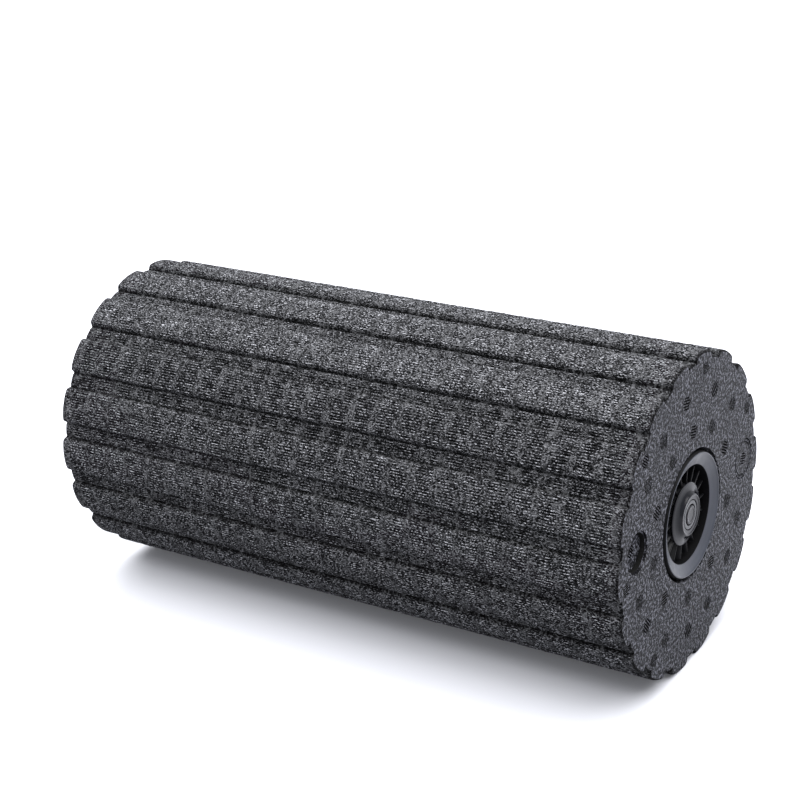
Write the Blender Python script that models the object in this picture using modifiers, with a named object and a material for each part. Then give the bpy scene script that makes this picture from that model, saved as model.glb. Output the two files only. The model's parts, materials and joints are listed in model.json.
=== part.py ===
"""Vibrating foam roller, lying on its side as it is stored.

A ribbed EPP foam body is pushed over a plastic core tube. The tube holds a battery pack, a twin-shaft motor
with an eccentric weight on each end, and a cap at each end. The front cap (+X) carries the power button, the
rear cap (-X) the charge socket behind a small door.

Lengths below are millimetres and become metres once, in the helpers. Places are measured from the middle of
the roller's axis: x along the axis, y across, z up. The origin is on the floor under that middle.
"""

import math

import bmesh
import bpy

MM = 0.001
QUARTER_TURN = math.pi / 2

# Foam body
FOAM_LENGTH = 300.0
CREST_RADIUS = 74.0
CROWN_RADIUS = 30.0
VALLEY_RADIUS = 71.0
RIB_COUNT = 18
RIB_PITCH = 360.0 / RIB_COUNT
CROWN_HALF_WIDTH = 7.2
FOOT_HALF_WIDTH = 8.6
FOOT_HEIGHT = 70.2
EDGE_ROUND = 1.2
RECESS_AT = (55.6, 172.1)
RECESS_RADIUS = 9.6
RECESS_DEPTH = 2.0
GROOVE_AT = (56.8, 3.2)
GROOVE_OUTER = 9.8
GROOVE_INNER = 7.7
GROOVE_DEPTH = 0.75

# The roller rests on the two ribs beside a valley, so its axis is a little lower than one crest radius.
AXIS_HEIGHT = (CREST_RADIUS - CROWN_RADIUS) * math.cos(math.radians(RIB_PITCH / 2)) + CROWN_RADIUS

# Core
FIT = 0.3
TUBE_OUTER = 27.0
TUBE_INNER = 25.0
TUBE_HALF = FOAM_LENGTH / 2 - 7.3
CAP_BORE = 30.4
CAP_STEP = FOAM_LENGTH / 2 - 6.7
PLUG_RADIUS = TUBE_INNER - 0.4

# End caps, as distances from the roller's middle
FACE = FOAM_LENGTH / 2
RIM_TOP = FACE + 0.7
RIM_RADIUS = 29.3
LIP_TOP = FACE - 1.1
LIP_BACK = FACE - 3.4
LIP_RADIUS = 21.4
SPIGOT_BORE = 21.9
SPIGOT_END = FACE - 18.0
GRILLE_FRONT = LIP_BACK - FIT
GRILLE_HOLE = 12.8
VANE_COUNT = 18
VANE_THICKNESS = 1.1
VANE_INNER = 15.4
VANE_OUTER = 20.4
HUB_BASE = GRILLE_FRONT + FIT
HUB_TOP = FACE - 0.3
HUB_RADIUS = 14.3
SKIRT_RADIUS = 12.5
BOARD_RADIUS = 12.2
BOARD_FRONT = FACE - 10.8
BOARD_BACK = BOARD_FRONT - 1.6
BOSS_OFFSET = 9.3
BULKHEAD_FRONT = SPIGOT_END - FIT
BULKHEAD_BACK = BULKHEAD_FRONT - 2.5
CAP_SCREW_CIRCLE = 23.25
CAP_SCREW_ANGLES = (85, 265)

# Power button
BUTTON_RADIUS = 4.6
BUTTON_TOP = FACE - 0.45
LIGHT_RING_OUTER = 6.65
LIGHT_RING_INNER = 4.9

# Charge door
DOOR_RADIUS = 6.5
DOOR_RECESS = 6.8
DOOR_HINGE_X = FACE - 1.1
DOOR_HINGE_Z = 7.4

# Battery pack
CELL_RADIUS = 9.15
CELL_BACK = 52.0
CELL_FRONT = 117.0
CELL_HOLE = 9.5
CELL_CIRCLE = 19.6 / math.sqrt(3)
CELL_ANGLES = (30, 150, 270)

# Motor, whose shaft is the roller's axis
CAN_OUTER = 17.9
CAN_INNER = 16.6
CAN_FRONT = 3.0
CAN_BACK = -52.0
SHAFT_RADIUS = 2.5
SHAFT_HOLE = 2.65
WEIGHT_RADIUS = 17.0
WEIGHT_LENGTH = 18.0
CRADLE_OUTER = 21.9
CHANNEL_HALF_ANGLE = 20
WIRE_LANE = 23.35
WIRE_RADIUS = 0.9


def clear_scene():
    for thing in list(bpy.data.objects):
        bpy.data.objects.remove(thing)


def make_collection(name):
    collection = bpy.data.collections.new(name)
    bpy.context.scene.collection.children.link(collection)
    return collection


def make_material(name, colour, roughness, metallic=0.0):
    material = bpy.data.materials.new(name)
    material.use_nodes = True
    shader = material.node_tree.nodes["Principled BSDF"]
    shader.inputs["Base Color"].default_value = (*colour, 1.0)
    shader.inputs["Roughness"].default_value = roughness
    shader.inputs["Metallic"].default_value = metallic
    return material


clear_scene()
PARTS = make_collection("foam_roller")
CUTTERS = make_collection("cutters")
CUTTERS.hide_render = True

AXIS = bpy.data.objects.new("roller_axis", None)
AXIS.location = (0, 0, AXIS_HEIGHT * MM)
PARTS.objects.link(AXIS)

FOAM = make_material("epp_foam", (0.045, 0.046, 0.05), 0.85)
SATIN = make_material("satin_plastic", (0.10, 0.11, 0.13), 0.35)
BLACK = make_material("black_plastic", (0.012, 0.012, 0.013), 0.45)
SMOKE = make_material("smoked_diffuser", (0.07, 0.075, 0.085), 0.25)
CORE = make_material("core_plastic", (0.03, 0.03, 0.032), 0.5)
RUBBER = make_material("rubber", (0.02, 0.02, 0.02), 0.8)
STEEL = make_material("steel", (0.6, 0.6, 0.62), 0.3, 1.0)
NICKEL = make_material("nickel", (0.75, 0.74, 0.7), 0.3, 1.0)
COPPER = make_material("copper", (0.72, 0.36, 0.2), 0.35, 1.0)
FERRITE = make_material("ferrite", (0.05, 0.05, 0.055), 0.6)
BOARD = make_material("circuit_board", (0.02, 0.16, 0.07), 0.4)
SLEEVE = make_material("cell_sleeve", (0.05, 0.16, 0.42), 0.35)
WIRE_RED = make_material("wire_red", (0.5, 0.03, 0.03), 0.5)
WIRE_BLACK = make_material("wire_black", (0.02, 0.02, 0.02), 0.5)


def polar(radius, degrees, y=0.0, z=0.0):
    angle = math.radians(degrees)
    return (y + radius * math.cos(angle), z + radius * math.sin(angle))


def arc(radius, start, end, steps, y=0.0, z=0.0):
    return [polar(radius, start + (end - start) * i / steps, y, z) for i in range(steps + 1)]


def circle(radius, steps, y=0.0, z=0.0):
    return arc(radius, 0, 360, steps, y, z)[:-1]


def place(thing, material, collection=None):
    thing.parent = AXIS
    if material:
        thing.data.materials.append(material)
    (collection or PARTS).objects.link(thing)
    if collection is CUTTERS:
        thing.hide_render = True
        thing.display_type = "WIRE"
    return thing


def end_on(thing, x=0.0, y=0.0, z=0.0):
    """Turns a shape made along its own Z to lie along the roller's axis."""
    thing.rotation_euler = (0, QUARTER_TURN, 0)
    thing.location = (x * MM, y * MM, z * MM)


def downwards(profile):
    """The (radius, x) profile in the order in which the Screw modifier's faces point out."""
    pairs = zip(profile, profile[1:] + profile[:1])
    area = sum(r0 * x1 - r1 * x0 for (r0, x0), (r1, x1) in pairs)
    return profile if area < 0 else profile[::-1]


def turned(name, profile, material=None, steps=32, y=0.0, z=0.0, collection=None):
    """A turned shape from (radius, x) points. One that starts and ends on its axis is solid, any other a ring."""
    profile = downwards(profile)
    mesh = bpy.data.meshes.new(name)
    edges = [(i, i + 1) for i in range(len(profile) - 1)]
    if min(radius for radius, _ in profile) > 0:
        edges.append((len(profile) - 1, 0))
    mesh.from_pydata([(radius * MM, 0, x * MM) for radius, x in profile], edges, [])
    thing = bpy.data.objects.new(name, mesh)
    end_on(thing, 0, y, z)
    screw = thing.modifiers.new("turn", "SCREW")
    screw.steps = steps
    screw.render_steps = steps
    screw.use_merge_vertices = True
    screw.merge_threshold = 1e-6
    return place(thing, material, collection)


def tube(name, outer, inner, start, end, material, steps=32):
    return turned(name, [(outer, end), (outer, start), (inner, start), (inner, end)], material, steps)


def rod_profile(radius, start, end, edge=0.0):
    top = [(0, end), (radius - edge, end), (radius, end - edge)] if edge else [(0, end), (radius, end)]
    low = [(radius, start + edge), (radius - edge, start), (0, start)] if edge else [(radius, start), (0, start)]
    return top + low


def rod(name, radius, start, end, material=None, steps=24, y=0.0, z=0.0, edge=0.0, collection=None):
    return turned(name, rod_profile(radius, start, end, edge), material, steps, y, z, collection)


def plate(name, outlines, start, end, material):
    """A flat shape across the axis: the first outline is its edge and the others are holes, as (y, z) points."""
    curve = bpy.data.curves.new(name, "CURVE")
    curve.dimensions = "2D"
    curve.fill_mode = "BOTH"
    curve.extrude = (end - start) / 2 * MM
    for outline in outlines:
        spline = curve.splines.new("POLY")
        spline.points.add(len(outline) - 1)
        spline.use_cyclic_u = True
        for point, (y, z) in zip(spline.points, outline):
            point.co = (-z * MM, y * MM, 0, 1)
    thing = bpy.data.objects.new(name, curve)
    end_on(thing, (start + end) / 2)
    return place(thing, material)


def box(name, size, centre, material, turn=0.0, collection=None):
    """A block of (x, y, z) size, turned by degrees about the roller's axis direction."""
    mesh = bpy.data.meshes.new(name)
    shape = bmesh.new()
    bmesh.ops.create_cube(shape, size=MM)
    bmesh.ops.scale(shape, vec=size, verts=shape.verts)
    shape.to_mesh(mesh)
    shape.free()
    thing = bpy.data.objects.new(name, mesh)
    thing.location = [value * MM for value in centre]
    thing.rotation_euler = (math.radians(turn), 0, 0)
    return place(thing, material, collection)


def cross_rod(name, radius, length, centre, along, material=None, steps=20, collection=None):
    """A plain round bar along "y" or "z"."""
    mesh = bpy.data.meshes.new(name)
    shape = bmesh.new()
    bmesh.ops.create_cone(
        shape, cap_ends=True, segments=steps, radius1=radius * MM, radius2=radius * MM, depth=length * MM
    )
    shape.to_mesh(mesh)
    shape.free()
    thing = bpy.data.objects.new(name, mesh)
    thing.location = [value * MM for value in centre]
    thing.rotation_euler = (QUARTER_TURN, 0, 0) if along == "y" else (0, 0, 0)
    return place(thing, material, collection)


def smooth_route(points, steps):
    """Points along a Catmull-Rom curve through the route's own points."""
    ends = [points[0], *points, points[-1]]
    found = []
    for a, b, c, d in zip(ends, ends[1:], ends[2:], ends[3:]):
        for i in range(steps):
            t = i / steps
            found.append(
                tuple(
                    0.5 * (2 * q + (r - p) * t + (2 * p - 5 * q + 4 * r - s) * t**2 + (3 * q - p - 3 * r + s) * t**3)
                    for p, q, r, s in zip(a, b, c, d)
                )
            )
    return [*found, points[-1]]


def wire(name, route, material, steps=3):
    curve = bpy.data.curves.new(name, "CURVE")
    curve.dimensions = "3D"
    curve.bevel_depth = WIRE_RADIUS * MM
    curve.bevel_resolution = 1
    curve.use_fill_caps = True
    points = smooth_route(route, steps)
    spline = curve.splines.new("POLY")
    spline.points.add(len(points) - 1)
    for point, place_mm in zip(spline.points, points):
        point.co = (*[value * MM for value in place_mm], 1)
    return place(bpy.data.objects.new(name, curve), material)


def as_mesh(thing):
    """Replaces a curve or a modified object by the mesh that it shows, so that a Boolean can work on it."""
    bpy.context.view_layer.update()
    graph = bpy.context.evaluated_depsgraph_get()
    mesh = bpy.data.meshes.new_from_object(thing.evaluated_get(graph))
    shape = bmesh.new()
    shape.from_mesh(mesh)
    bmesh.ops.remove_doubles(shape, verts=shape.verts, dist=1e-7)
    shape.to_mesh(mesh)
    shape.free()
    name = thing.name
    thing.name = name + "_source"
    solid = bpy.data.objects.new(name, mesh)
    solid.parent = thing.parent
    solid.matrix_basis = thing.matrix_basis.copy()
    for collection in thing.users_collection:
        collection.objects.link(solid)
    bpy.data.objects.remove(thing)
    return solid


def combine(thing, others, operation="DIFFERENCE"):
    for other in others:
        modifier = thing.modifiers.new(operation.lower(), "BOOLEAN")
        modifier.operation = operation
        modifier.solver = "EXACT"
        modifier.object = other
    return thing


def screw(name, head, shank, seat, tip, material, y=0.0, z=0.0):
    """A pan-head screw: its head's underside is at x = seat, and its shank runs to x = tip."""
    out = 1 if seat > tip else -1
    thickness = head * 0.7
    profile = [
        (0, seat + out * thickness * 0.45),
        (head * 0.4, seat + out * thickness * 0.6),
        (head * 0.45, seat + out * thickness),
        (head * 0.8, seat + out * thickness * 0.9),
        (head, seat + out * thickness * 0.4),
        (head, seat),
        (shank, seat),
        (shank, tip + out * shank),
        (0, tip),
    ]
    return turned(name, profile, material, 10, y, z)


def rib_section(centre):
    """One rib and half of the valley after it, as points (y, z) round the foam's outline."""
    height = CREST_RADIUS - CROWN_RADIUS
    touching = CROWN_RADIUS * math.sin(math.radians(RIB_PITCH / 2))
    widths = (-CROWN_HALF_WIDTH, -touching, -touching / 2, 0, touching / 2, touching, CROWN_HALF_WIDTH)
    crown = [(u, height + math.sqrt(CROWN_RADIUS**2 - u * u)) for u in widths]
    shoulder = crown[-1][1]
    rise = [(FOOT_HALF_WIDTH, FOOT_HEIGHT), (FOOT_HALF_WIDTH - 0.2, 71.4), (FOOT_HALF_WIDTH - 0.6, shoulder - 0.8)]
    section = [(-u, v) for u, v in rise] + crown + rise[::-1]
    turn = math.radians(centre - 90)
    turned_points = [(u * math.cos(turn) - v * math.sin(turn), u * math.sin(turn) + v * math.cos(turn)) for u, v in section]
    # u runs against the angle, so the points come out anticlockwise once reversed.
    return turned_points[::-1] + [polar(VALLEY_RADIUS, centre + RIB_PITCH / 2)]


def foam_body():
    """The ribbed outline carried along the axis and drawn in a little at each end."""
    outline = [point for k in range(RIB_COUNT) for point in rib_section(k * RIB_PITCH)]
    count = len(outline)
    drawn_in = 1 - EDGE_ROUND / CREST_RADIUS
    stations = [(-FACE, drawn_in), (EDGE_ROUND - FACE, 1), (FACE - EDGE_ROUND, 1), (FACE, drawn_in)]
    verts = [(x * MM, y * scale * MM, z * scale * MM) for x, scale in stations for y, z in outline]
    faces = [list(range(count))[::-1], list(range(3 * count, 4 * count))]
    for ring in range(0, 3 * count, count):
        for i in range(count):
            j = (i + 1) % count
            faces.append((ring + i, ring + j, ring + count + j, ring + count + i))
    mesh = bpy.data.meshes.new("foam_body")
    mesh.from_pydata(verts, [], faces)
    body = place(bpy.data.objects.new("foam_body", mesh), FOAM)

    past = FACE + 10
    bore = TUBE_OUTER + FIT
    steps = [(0, past), (CAP_BORE, past), (CAP_BORE, CAP_STEP), (bore, CAP_STEP)]
    cutters = [turned("bore_cutter", steps + [(r, -x) for r, x in steps[::-1]], None, 36, collection=CUTTERS)]
    for side in (1, -1):
        floor, outside = side * (FACE - RECESS_DEPTH), side * past
        ends = sorted((floor, outside))
        cutters.append(rod("recess_cutter", RECESS_RADIUS, *ends, None, 24, *polar(*RECESS_AT), collection=CUTTERS))
        floor = side * (FACE - GROOVE_DEPTH)
        profile = [(GROOVE_OUTER, outside), (GROOVE_OUTER, floor), (GROOVE_INNER, floor), (GROOVE_INNER, outside)]
        cutters.append(turned("groove_cutter", profile, None, 24, *polar(*GROOVE_AT), collection=CUTTERS))
    return combine(body, cutters)


def mirrored(profile, side):
    return [(radius, side * x) for radius, x in profile]


def bezel(name, side):
    """The satin ring: a flange in the foam's counterbore, a shallow dish, and a spigot inside the core tube."""
    profile = [
        (28.2, RIM_TOP),
        (29.0, RIM_TOP - 0.3),
        (RIM_RADIUS, RIM_TOP - 1.0),
        (RIM_RADIUS, CAP_STEP + FIT),
        (PLUG_RADIUS, CAP_STEP + FIT),
        (PLUG_RADIUS, SPIGOT_END),
        (SPIGOT_BORE, SPIGOT_END),
        (SPIGOT_BORE, LIP_BACK),
        (LIP_RADIUS, LIP_BACK),
        (LIP_RADIUS, LIP_TOP - 1.1),
        (22.2, LIP_TOP - 0.35),
        (23.6, LIP_TOP + 0.1),
        (25.2, LIP_TOP + 0.45),
        (26.8, LIP_TOP + 1.1),
    ]
    ring = turned(name, mirrored(profile, side), SATIN, 36)
    holes = []
    for angle in CAP_SCREW_ANGLES:
        y, z = polar(CAP_SCREW_CIRCLE, angle)
        ends = sorted((side * (SPIGOT_END - 2), side * (SPIGOT_END + 8)))
        holes.append(rod("bezel_hole", 0.95, *ends, None, 10, y, z, collection=CUTTERS))
    return combine(ring, holes)


def vane_window(middle):
    """The opening between two vanes, whose straight sides leave vanes of one thickness."""

    def half(radius):
        return 180 / VANE_COUNT - math.degrees(math.asin(VANE_THICKNESS / 2 / radius))

    outer = arc(VANE_OUTER, middle - half(VANE_OUTER), middle + half(VANE_OUTER), 2)
    inner = arc(VANE_INNER, middle + half(VANE_INNER), middle - half(VANE_INNER), 1)
    return outer + inner


def grille(name, side):
    """Two rings joined by deep radial vanes."""
    windows = [vane_window(360 / VANE_COUNT * (k + 0.5)) for k in range(VANE_COUNT)]
    outlines = [circle(SPIGOT_BORE - FIT, 36), circle(GRILLE_HOLE, 36), *windows]
    ends = sorted((side * SPIGOT_END, side * GRILLE_FRONT))
    return plate(name, outlines, *ends, BLACK)


def front_hub():
    """The cone round the power button, with a skirt inside the grille and two bosses for the control board."""
    profile = [
        (9.1, HUB_TOP),
        (9.6, HUB_TOP - 0.25),
        (9.9, HUB_TOP - 0.8),
        (10.7, HUB_TOP - 1.5),
        (12.2, HUB_TOP - 2.1),
        (13.6, HUB_TOP - 2.4),
        (HUB_RADIUS, HUB_BASE + 0.3),
        (HUB_RADIUS, HUB_BASE),
        (SKIRT_RADIUS, HUB_BASE),
        (SKIRT_RADIUS, BOARD_FRONT + FIT),
        (11.2, BOARD_FRONT + FIT),
        (11.2, HUB_BASE - 0.6),
        (LIGHT_RING_OUTER + FIT, HUB_BASE - 0.6),
        (LIGHT_RING_OUTER + FIT, HUB_TOP - 0.2),
    ]
    hub = turned("front_hub", profile, SATIN, 30)
    bosses = []
    holes = []
    for y in (-BOSS_OFFSET, BOSS_OFFSET):
        bosses.append(rod("hub_boss", 1.7, BOARD_FRONT + FIT, HUB_BASE + 0.2, None, 12, y, collection=CUTTERS))
        holes.append(rod("hub_hole", 1.05, BOARD_FRONT - 1, HUB_BASE - 1.2, None, 10, y, collection=CUTTERS))
    combine(hub, bosses, "UNION")
    return combine(hub, holes)


def rear_hub():
    """The same cone with a recess for the charge door, its hinge lugs, and a seat for the charge socket."""
    recess_floor = FACE - 2.6
    profile = [
        (9.1, HUB_TOP - 0.3),
        (9.6, HUB_TOP - 0.5),
        (9.9, HUB_TOP - 0.9),
        (10.7, HUB_TOP - 1.5),
        (12.2, HUB_TOP - 2.1),
        (13.6, HUB_TOP - 2.4),
        (HUB_RADIUS, HUB_BASE + 0.3),
        (HUB_RADIUS, HUB_BASE),
        (SKIRT_RADIUS, HUB_BASE),
        (SKIRT_RADIUS, BOARD_FRONT + FIT),
        (11.2, BOARD_FRONT + FIT),
        (11.2, recess_floor - 2.2),
        (4.3, recess_floor - 2.2),
        (4.3, recess_floor),
        (DOOR_RECESS, recess_floor),
        (DOOR_RECESS, HUB_TOP - 0.3),
    ]
    hub = turned("rear_hub", mirrored(profile, -1), SATIN, 30)
    notch = box("hinge_notch", (4.0, 5.6, 2.6), (0.3 - FACE, 0, DOOR_HINGE_Z), None, collection=CUTTERS)
    pin_at = (-DOOR_HINGE_X, 0, DOOR_HINGE_Z)
    pin_hole = cross_rod("hinge_hole", 0.55, 12, pin_at, "y", steps=12, collection=CUTTERS)
    bosses = []
    holes = []
    for y in (-BOSS_OFFSET, BOSS_OFFSET):
        ends = (-(recess_floor - 1), -(BOARD_FRONT + FIT))
        bosses.append(rod("rear_boss", 1.7, *ends, None, 12, y, collection=CUTTERS))
        holes.append(rod("rear_hole", 1.05, -(HUB_BASE - 1.6), -(BOARD_FRONT - 1), None, 10, y, collection=CUTTERS))
    combine(hub, bosses, "UNION")
    return combine(hub, [notch, pin_hole, *holes])


def power_button():
    profile = [
        (0, BUTTON_TOP),
        (3.2, BUTTON_TOP - 0.05),
        (4.2, BUTTON_TOP - 0.2),
        (BUTTON_RADIUS, BUTTON_TOP - 0.6),
        (BUTTON_RADIUS, FACE - 2.4),
        (5.7, FACE - 2.4),
        (5.7, FACE - 3.3),
        (2.0, FACE - 3.3),
        (2.0, FACE - 5.5),
        (0, FACE - 5.5),
    ]
    turned("power_button", profile, SATIN, 24)


def light_ring():
    """The smoked ring round the button, whose sleeve leads the light up from the board."""
    profile = [
        (6.3, FACE - 0.7),
        (LIGHT_RING_OUTER, FACE - 1.0),
        (LIGHT_RING_OUTER, FACE - 9.4),
        (6.0, FACE - 9.4),
        (6.0, FACE - 2.1),
        (LIGHT_RING_INNER, FACE - 2.1),
        (LIGHT_RING_INNER, FACE - 0.7),
    ]
    turned("light_ring", profile, SMOKE, 24)


def tact_switch():
    body = box("tact_switch", (3.5, 6.0, 6.0), (FACE - 8.75, 0, 0), BLACK)
    well = rod("switch_well", 2.1, FACE - 9.4, FACE - 5, None, 20, collection=CUTTERS)
    combine(body, [well])
    rod("switch_plunger", 1.75, FACE - 8.4, FACE - 5.8, RUBBER, 20, edge=0.2)


def round_board(name, side):
    holes = [circle(1.1, 10, y) for y in (-BOSS_OFFSET, BOSS_OFFSET)]
    ends = sorted((side * BOARD_FRONT, side * BOARD_BACK))
    plate(name, [circle(BOARD_RADIUS, 24), *holes], *ends, BOARD)


def front_controls():
    front_hub()
    light_ring()
    power_button()
    tact_switch()
    round_board("control_board", 1)
    for number, angle in enumerate(CAP_SCREW_ANGLES, 1):
        y, z = polar(6.35, angle)
        box(f"status_led_{number}", (0.8, 1.6, 1.6), (FACE - 10.0, y, z), SMOKE, angle)
    for number, y in enumerate((-BOSS_OFFSET, BOSS_OFFSET), 1):
        board_screw(f"control_board_screw_{number}", 1, y)


def board_screw(name, side, y):
    """A screw driven outwards through a board into its hub's boss."""
    seat = BOARD_BACK - 0.2
    tip = BOARD_FRONT + 4.5
    screw(name, 1.8, 0.75, side * seat, side * tip, STEEL, y)


def bulkhead(name, side):
    """The plate that closes the cap from behind; its screws pull it and the grille up to the bezel."""
    screw_holes = [circle(0.95, 10, *polar(CAP_SCREW_CIRCLE, angle)) for angle in CAP_SCREW_ANGLES]
    outlines = [circle(PLUG_RADIUS, 36), circle(6.0, 16), *screw_holes]
    ends = sorted((side * BULKHEAD_BACK, side * BULKHEAD_FRONT))
    plate(name + "_bulkhead", outlines, *ends, CORE)
    for number, angle in enumerate(CAP_SCREW_ANGLES, 1):
        y, z = polar(CAP_SCREW_CIRCLE, angle)
        seat, tip = side * (BULKHEAD_BACK - 0.2), side * (SPIGOT_END + 6)
        screw(f"{name}_cap_screw_{number}", 1.25, 0.65, seat, tip, STEEL, y, z)


def charge_port():
    """The barrel socket with its centre pin, the board that it is soldered to, and the hinged door."""
    socket = [
        (0, FACE - 3.6),
        (1.0, FACE - 3.6),
        (1.0, FACE - 9.0),
        (3.15, FACE - 9.0),
        (3.15, FACE - 3.0),
        (4.0, FACE - 3.0),
        (4.0, FACE - 10.5),
        (0, FACE - 10.5),
    ]
    turned("charge_socket", mirrored(socket, -1), BLACK, 20)
    round_board("charge_board", -1)
    for number, y in enumerate((-BOSS_OFFSET, BOSS_OFFSET), 1):
        board_screw(f"charge_board_screw_{number}", -1, y)

    door = rod("port_door", DOOR_RADIUS, -(FACE - 0.7), -(FACE - 2.2), RUBBER, 24, edge=0.25)
    barrel_at = (-DOOR_HINGE_X, 0, DOOR_HINGE_Z)
    barrel = cross_rod("door_barrel", 0.85, 4.8, barrel_at, "y", steps=16, collection=CUTTERS)
    web_size = (1.0, 4.4, 2.0)
    web = box("door_web", web_size, (-DOOR_HINGE_X - 0.1, 0, DOOR_HINGE_Z - 1.2), None, collection=CUTTERS)
    pin_hole = cross_rod("door_hole", 0.55, 12, barrel_at, "y", steps=12, collection=CUTTERS)
    combine(door, [barrel, web], "UNION")
    combine(door, [pin_hole])
    cross_rod("door_hinge_pin", 0.4, 7.2, barrel_at, "y", STEEL, 12)


def notched_disc(radius, floor_radius):
    """A round outline with a notch at its top, where the wires pass."""
    gap = CHANNEL_HALF_ANGLE
    rim = arc(radius, 90 + gap, 450 - gap, 30)
    floor = arc(floor_radius, 450 - gap, 450 + gap, 4)
    return rim + floor


def battery_pack():
    for number, angle in enumerate(CELL_ANGLES, 1):
        y, z = polar(CELL_CIRCLE, angle)
        profile = [
            (0, CELL_FRONT),
            (2.8, CELL_FRONT),
            (2.8, CELL_FRONT - 1),
            (8.3, CELL_FRONT - 1),
            (CELL_RADIUS, CELL_FRONT - 1.8),
            (CELL_RADIUS, CELL_BACK + 0.8),
            (8.3, CELL_BACK),
            (0, CELL_BACK),
        ]
        turned(f"battery_cell_{number}", profile, SLEEVE, 20, y, z)
    holes = [circle(CELL_HOLE, 20, *polar(CELL_CIRCLE, angle)) for angle in CELL_ANGLES]
    for name, start in (("battery_spacer_front", 104), ("battery_spacer_rear", 57)):
        plate(name, [notched_disc(PLUG_RADIUS, 22.0), *holes], start, start + 8, CORE)
    box("battery_strip", (0.3, 26.0, 7.0), (CELL_FRONT + 0.45, 0, CELL_CIRCLE / 2), NICKEL)
    plate("battery_board", [circle(19.0, 24), circle(2.0, 10)], 46.5, 48.1, BOARD)


def motor():
    can = [
        (CAN_OUTER, CAN_FRONT),
        (CAN_OUTER, CAN_BACK),
        (CAN_INNER, CAN_BACK),
        (CAN_INNER, CAN_FRONT - 1.4),
        (6.8, CAN_FRONT - 1.4),
        (6.8, CAN_FRONT),
    ]
    shell = turned("motor_can", can, STEEL, 30)
    face_screws = (-12.0, 12.0)
    holes = [rod("can_hole", 1.7, 0, 5, None, 12, y, collection=CUTTERS) for y in face_screws]
    combine(shell, holes)
    tube("motor_end_bell", CAN_OUTER, 6.8, CAN_BACK - 3, CAN_BACK - FIT, BLACK, 28)
    tube("motor_bearing_front", 6.5, SHAFT_HOLE, -0.5, 4.5, STEEL, 20)
    tube("motor_bearing_rear", 6.5, SHAFT_HOLE, -56, -51, STEEL, 20)
    for name, start in (("motor_magnet_left", 100), ("motor_magnet_right", -80)):
        outline = arc(16.3, start, start + 160, 14) + arc(13.2, start + 160, start, 14)
        plate(name, [outline], -42, -8, FERRITE)

    mount_holes = [circle(1.7, 12, y) for y in face_screws]
    plate("motor_mount_plate", [circle(18.0, 28), circle(7.2, 20), *mount_holes], 3.4, 6.4, CORE)
    for number, y in enumerate(face_screws, 1):
        screw(f"motor_screw_{number}", 2.6, 1.4, 6.7, -1.0, STEEL, y)


def rotor():
    """Everything that spins: shaft, wound core with its commutator, and the two eccentric weights."""
    rod("rotor_shaft", SHAFT_RADIUS, -83, 33, STEEL, 20, edge=0.4)
    core = [(12.6, -10), (12.6, -40), (5.0, -40.5), (5.0, -49), (SHAFT_HOLE, -49), (SHAFT_HOLE, -10)]
    turned("rotor_core", core, COPPER, 24)
    for name, start in (("front", 12.0), ("rear", -80.0)):
        outline = arc(WEIGHT_RADIUS, 200, 340, 16) + arc(6.5, -20, 200, 12)
        end = start + WEIGHT_LENGTH
        weight = as_mesh(plate(f"weight_{name}", [outline, circle(SHAFT_HOLE, 20)], start, end, NICKEL))
        middle = start + WEIGHT_LENGTH / 2
        hole = cross_rod(f"grub_hole_{name}", 1.7, 6, (middle, 0, 5.5), "z", steps=14, collection=CUTTERS)
        combine(weight, [hole])
        cross_rod(f"weight_screw_{name}", 1.4, 3.2, (middle, 0, 4.5), "z", STEEL, 14)


def motor_mounting():
    """Two half shells round the motor, held in the tube by slotted rubber rings."""
    for name, start in (("cradle_upper", 1), ("cradle_lower", 181)):
        outline = arc(CRADLE_OUTER, start, start + 178, 20) + arc(CAN_OUTER + 0.5, start + 178, start, 20)
        plate(name, [outline], -54, 7, CORE)
    for name, start in (("damper_ring_front", -14), ("damper_ring_rear", -46)):
        gap = CHANNEL_HALF_ANGLE
        outer = arc(TUBE_INNER - 0.4, 90 + gap, 450 - gap, 28)
        inner = arc(CRADLE_OUTER + FIT, 450 - gap, 90 + gap, 28)
        plate(name, [outer + inner], start, start + 10, RUBBER)


def wiring():
    """The leads run along the top of the tube, over the cradle and through the spacers' notches."""
    for name, y, material in (("motor_lead_red", -1.4, WIRE_RED), ("motor_lead_black", 1.4, WIRE_BLACK)):
        side = math.copysign(1, y)
        route = [
            (-56.5, side * 12, 8),
            (-58.5, side * 11, 11),
            (-59.5, side * 8, 16),
            (-58.5, side * 3.6, 21),
            (-54.0, y, WIRE_LANE),
            (-20.0, y, WIRE_LANE),
            (20.0, y, WIRE_LANE),
            (38.0, y, WIRE_LANE - 0.3),
            (43.0, side * 2.6, 21),
            (45.2, side * 4, 16),
        ]
        wire(name, route, material)
    charge = [
        (-134.5, 0, 0),
        (-128, 0, 0),
        (-122, 0.5, 3),
        (-113, 2, 13),
        (-104, 4, 21),
        (-94, 4.7, WIRE_LANE - 0.5),
        (-50, 4.7, WIRE_LANE - 0.5),
        (0, 4.7, WIRE_LANE - 0.5),
        (36, 4.9, WIRE_LANE - 1.0),
        (42.5, 6.8, 20),
        (45.2, 8.5, 14.5),
    ]
    wire("charge_lead", charge, WIRE_BLACK)
    control = [
        (136.6, 0, 1),
        (131, 0, 1),
        (125, -0.5, 5),
        (120.5, -1, 15),
        (117, -2.2, 21.5),
        (110, -3, WIRE_LANE),
        (80, -3, WIRE_LANE),
        (60, -3, WIRE_LANE),
        (53, -3, 21.5),
        (50, -3, 16),
        (49.2, -3, 13),
    ]
    wire("control_lead", control, WIRE_RED)


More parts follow.
